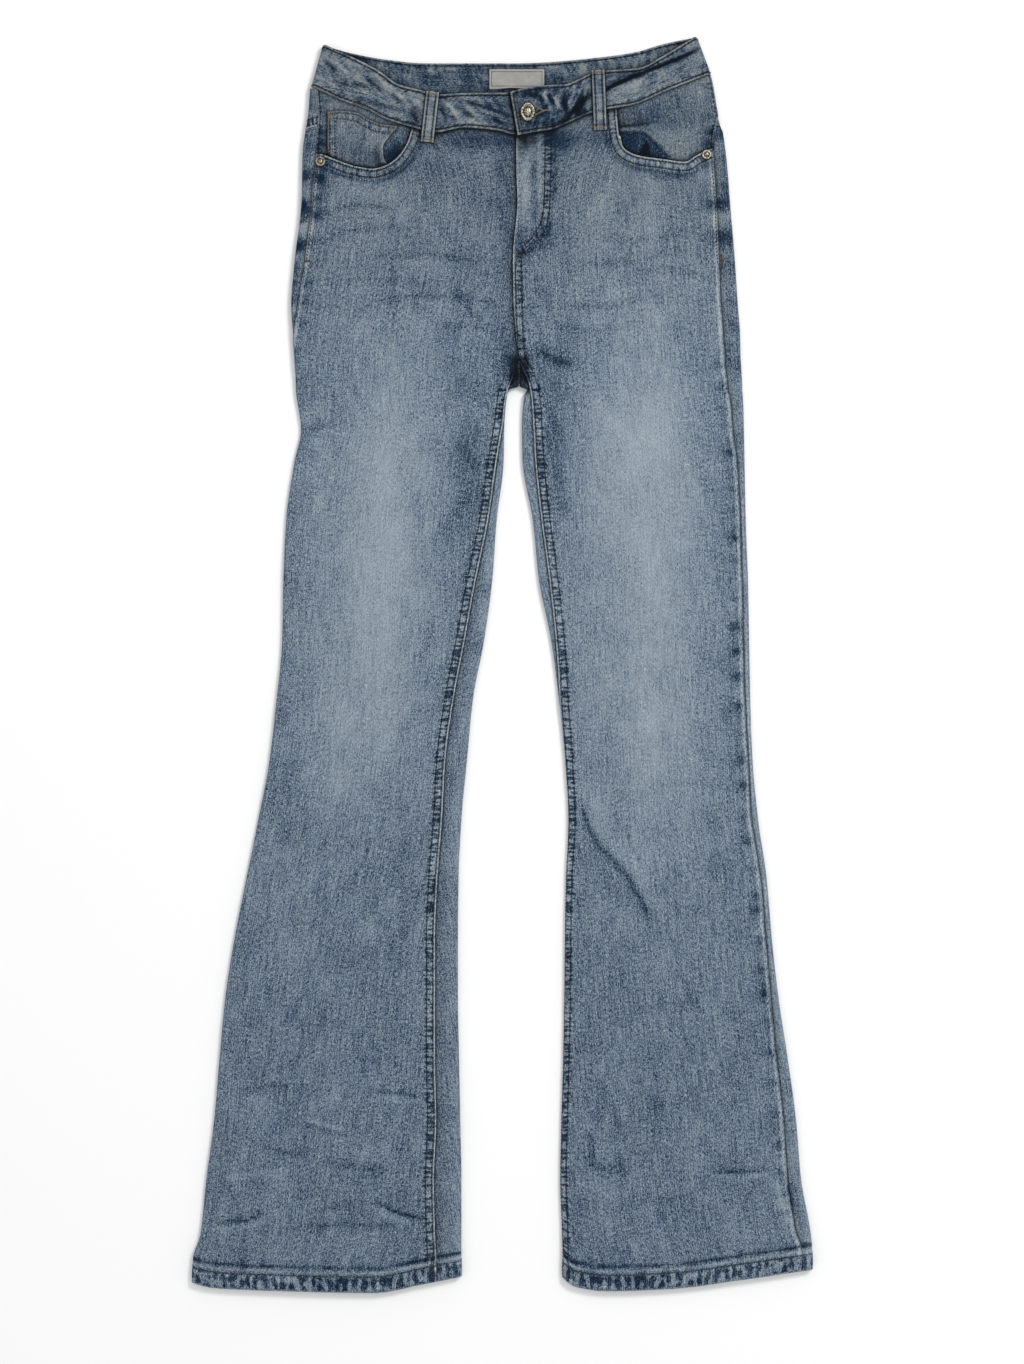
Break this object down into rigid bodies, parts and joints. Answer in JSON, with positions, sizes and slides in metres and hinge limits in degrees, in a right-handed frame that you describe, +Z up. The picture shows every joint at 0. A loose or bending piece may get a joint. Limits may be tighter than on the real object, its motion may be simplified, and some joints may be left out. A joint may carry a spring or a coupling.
{
  "type": "flared jeans laid flat",
  "caption": "Women's flared five-pocket jeans in washed blue denim, laid out flat on their back, front up, with a buttoned waistband and turned-up hems.",
  "frame": {"origin": "centre of the bounding box of the jeans as laid out, on the surface that they lie on", "axes": "+Y along the legs toward the waist, +Z up off the surface (front of the jeans), +X toward the wearer's left leg"},
  "size_m": [0.5441, 1.099, 0.0132],
  "materials": {
    "denim": "washed light blue denim, matt",
    "button_metal": "pale antique metal",
    "label_cloth": "woven, pale grey"
  },
  "bodies": {
    "root": {"front_right": "denim", "front_left": "denim", "back_right": "denim", "back_left": "denim", "yoke_right": "denim", "yoke_left": "denim", "waistband": "denim", "pocket_facing_right": "denim", "pocket_facing_left": "denim", "coin_pocket": "denim", "back_pocket_right": "denim", "back_pocket_left": "denim", "belt_loop_front_right": "denim", "belt_loop_front_left": "denim", "belt_loop_back_right": "denim", "belt_loop_back_left": "denim", "belt_loop_centre": "denim", "waist_button": "button_metal", "rivet_right": "button_metal", "rivet_left": "button_metal", "inner_label": "label_cloth"}
  },
  "joints": []
}
